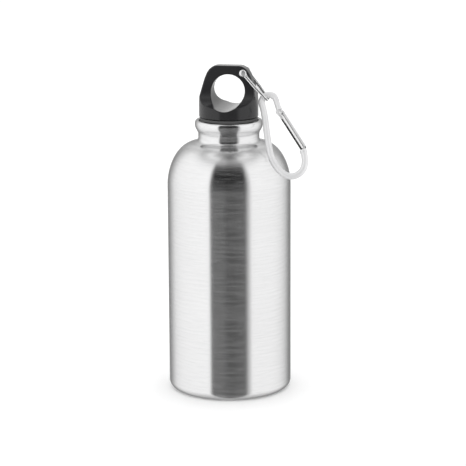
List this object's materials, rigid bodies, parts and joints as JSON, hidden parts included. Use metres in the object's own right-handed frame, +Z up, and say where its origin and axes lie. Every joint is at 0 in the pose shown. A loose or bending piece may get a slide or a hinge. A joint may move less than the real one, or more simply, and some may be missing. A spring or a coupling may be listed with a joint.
{
  "type": "sports bottle",
  "caption": "Cylindrical single-wall steel bottle with a rounded shoulder, short neck and screw cap; a riveted U-link on the cap's finger loop carries a small sprung-gate carabiner.",
  "frame": {"origin": "centre of the base, in the plane the bottle stands on", "axes": "+Z up along the bottle's axis, -Y towards the front with the cap's loop facing it, +X towards the carabiner"},
  "size_m": [0.0772, 0.065, 0.173],
  "materials": {
    "brushed_steel": "brushed round the bottle's axis",
    "black_plastic": "glossy moulded",
    "black_rubber": "matte",
    "polished_steel": "polished",
    "spring_steel": "drawn wire",
    "satin_aluminium": "satin anodised",
    "polished_aluminium": "bright"
  },
  "bodies": {
    "bottle": {"bottle_shell": "brushed_steel", "base_plate": "brushed_steel", "neck_thread_ring": "brushed_steel"},
    "seal": {"neck_gasket": "black_rubber"},
    "cap": {"screw_cap": "black_plastic", "link_rivet": "polished_steel"},
    "link": {"link_strap": "polished_steel"},
    "carabiner": {"carabiner_frame": "satin_aluminium", "gate_pivot_pin": "polished_steel"},
    "gate": {"carabiner_gate": "polished_aluminium", "gate_spring": "spring_steel"},
    "plunger": {"gate_plunger": "polished_steel"}
  },
  "joints": [
    {"name": "cap_lift", "type": "slide", "parent": "bottle", "child": "seal", "axis": [0, 0, 1], "range_m": [0, 0.0181]},
    {"name": "cap_turn", "type": "hinge", "parent": "seal", "child": "cap", "pos_m": [0, 0, 0.1445], "axis": [0, 0, 1], "range_deg": [0, 1440]},
    {"name": "link_swing", "type": "hinge", "parent": "cap", "child": "link", "pos_m": [0.0086, 0, 0.1695], "axis": [0, -1, 0], "range_deg": [0, 165]},
    {"name": "carabiner_swing", "type": "hinge", "parent": "link", "child": "carabiner", "pos_m": [0.0192, 0, 0.15731], "axis": [-0.7727, -0.337, -0.5379], "range_deg": [0, 40]},
    {"name": "gate_open", "type": "hinge", "parent": "carabiner", "child": "gate", "pos_m": [0.02937, -0.0037, 0.14834], "axis": [-0.074, 0.8895, -0.4509], "range_deg": [0, 22], "stiffness_Nm_per_rad": 0.03, "springref_deg": -17.19},
    {"name": "plunger_slide", "type": "slide", "parent": "gate", "child": "plunger", "axis": [0.5839, -0.3279, -0.7426], "range_m": [0, 0.00072], "deforming": ["gate_spring"]}
  ],
  "couplings": [
    {"joint": "cap_lift", "follows": "cap_turn", "m_per_rad": 0.0007162},
    {"joint": "plunger_slide", "follows": "gate_open", "m_per_rad": 0.001822}
  ]
}
